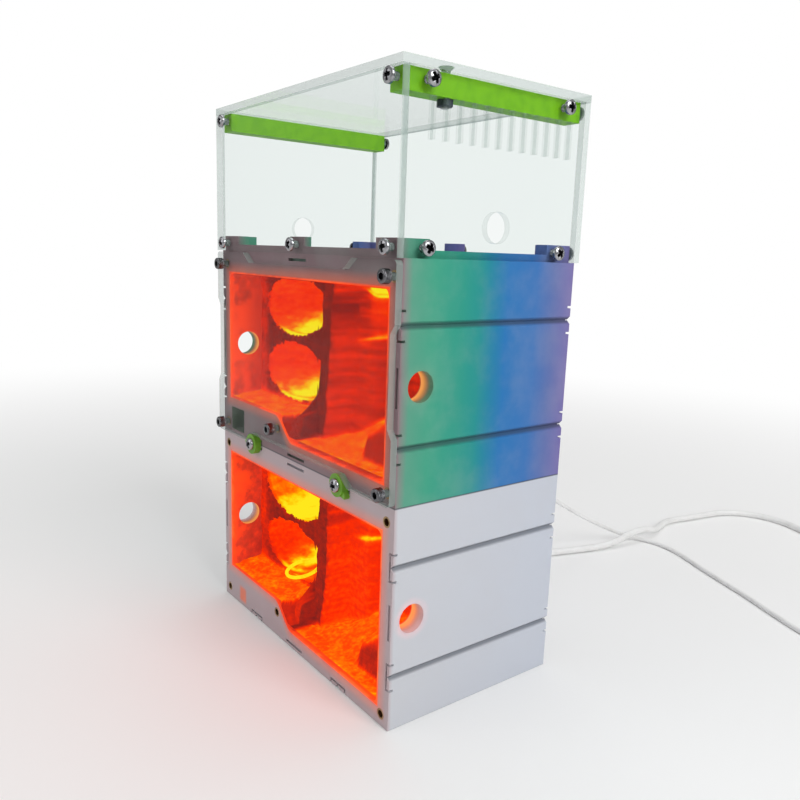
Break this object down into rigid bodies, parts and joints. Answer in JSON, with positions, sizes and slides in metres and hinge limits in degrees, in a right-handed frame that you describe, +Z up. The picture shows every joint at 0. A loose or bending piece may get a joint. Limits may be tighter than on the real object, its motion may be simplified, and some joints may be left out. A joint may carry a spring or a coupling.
{
  "type": "ant nest tower",
  "caption": "Stacked ant habitat: two lit nest modules with windows, joined by green clips, under a clear box with a swinging lid; two white leads lie behind.",
  "frame": {"origin": "middle of the rest face under the lower module", "axes": "+Z up, the windows face -Y, +X towards the vented side of the foraging box"},
  "size_m": [0.2691, 0.4572, 0.251],
  "materials": {
    "white_print": "matte",
    "fade_print": "matte, fading from green to blue and purple",
    "cave_stone": "rough carved",
    "board_green": "matte",
    "lamp_dome": "lit",
    "steel_screw": "plain",
    "dark_nut": "dark",
    "white_rubber": "matte",
    "brass_insert": "knurled",
    "clear_acrylic": "clear, polished edges",
    "lime_print": "matte",
    "white_jacket": "smooth",
    "black_tie": "smooth",
    "plug_steel": "plain"
  },
  "bodies": {
    "tower": {"lower_nest_body": "white_print", "lower_cave_insert": "cave_stone", "lower_lamp_board": "board_green", "lower_lamps": "lamp_dome", "lower_back_cover": "white_print", "lower_back_screws": "steel_screw", "lower_cable_gland": "white_rubber", "lower_thread_inserts": "brass_insert", "middle_nest_body": "fade_print", "middle_cave_insert": "cave_stone", "middle_lamp_board": "board_green", "middle_lamps": "lamp_dome", "middle_back_cover": "fade_print", "middle_back_screws": "steel_screw", "middle_cable_gland": "white_rubber", "middle_thread_inserts": "brass_insert", "front_cover_plate": "clear_acrylic", "front_cover_screws": "steel_screw", "clip_front_left": "lime_print", "clip_front_right": "lime_print", "clip_back_left": "lime_print", "clip_back_right": "lime_print", "clip_screws": "steel_screw", "front_pane": "clear_acrylic", "back_pane": "clear_acrylic", "left_pane": "clear_acrylic", "right_pane": "clear_acrylic", "left_bar": "lime_print", "right_bar": "lime_print", "front_pane_screws": "steel_screw", "back_pane_screws": "steel_screw", "left_pane_screws": "steel_screw", "right_pane_screws": "steel_screw", "lid_pivot_screw": "steel_screw", "lid_pivot_nut": "dark_nut", "thin_lead_run": "white_jacket", "thin_lead_coil": "white_jacket", "thin_lead_tail": "white_jacket", "thin_lead_tie": "black_tie", "thin_lead_plug_grip": "white_jacket", "thin_lead_plug_tongue": "plug_steel", "thick_lead_run": "white_jacket", "thick_lead_coil": "white_jacket", "thick_lead_tail": "white_jacket", "thick_lead_tie": "black_tie", "thick_lead_plug_grip": "white_jacket", "thick_lead_plug_tongue": "plug_steel"},
    "lid": {"lid": "clear_acrylic"}
  },
  "joints": [
    {"name": "lid_swing", "type": "hinge", "parent": "tower", "child": "lid", "pos_m": [0.068, -0.0235, 0.2495], "axis": [0, 0, 1], "continuous": true}
  ]
}
